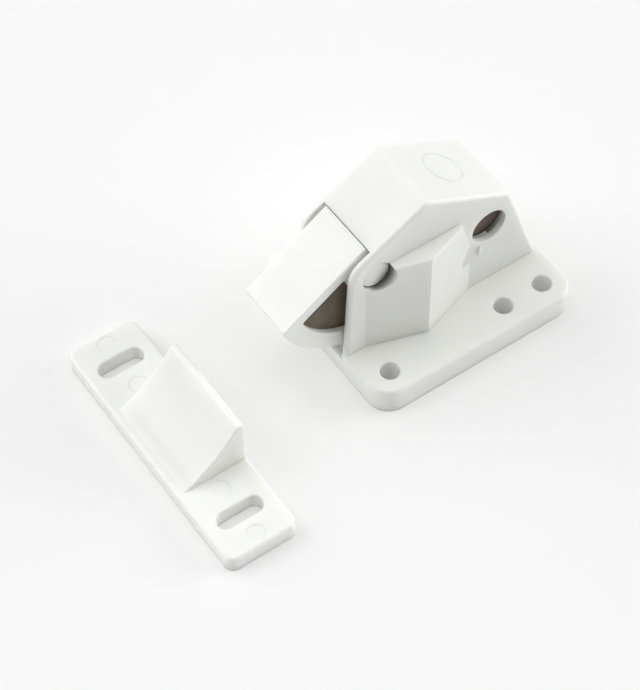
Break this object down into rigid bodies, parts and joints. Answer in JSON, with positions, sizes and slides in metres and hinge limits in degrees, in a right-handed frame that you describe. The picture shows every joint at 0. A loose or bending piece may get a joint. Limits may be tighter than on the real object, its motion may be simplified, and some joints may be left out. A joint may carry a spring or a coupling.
{
  "type": "magnetic cabinet catch",
  "caption": "White moulded cabinet catch: a hooded housing holds a sprung, hinged arm with a magnet in its nose; a separate strike plate has a ramped wedge and slotted holes.",
  "frame": {"origin": "centre of the rectangle of screw holes at the corners of the housing's base plate, on the face that goes against the door", "axes": "+Z out of the base plate, -X the way the nose points, Y along the arm's pivot"},
  "size_m": [0.0952, 0.061, 0.0416],
  "materials": {
    "white_plastic": "satin white moulded plastic",
    "ferrite": "dull dark brown sintered ferrite",
    "spring_steel": "bright drawn wire"
  },
  "bodies": {
    "catch": {"housing": "white_plastic", "rear_magnet": "ferrite", "strike_plate": "white_plastic"},
    "arm": {"latch_arm": "white_plastic", "nose_magnet": "ferrite", "return_spring": "spring_steel"}
  },
  "joints": [
    {"name": "arm_pivot", "type": "hinge", "parent": "catch", "child": "arm", "pos_m": [-0.01745, 0, 0.02785], "axis": [0, -1, 0], "range_deg": [0, 36], "stiffness_Nm_per_rad": 0.02, "springref_deg": -34.38, "deforming": ["return_spring"]}
  ]
}
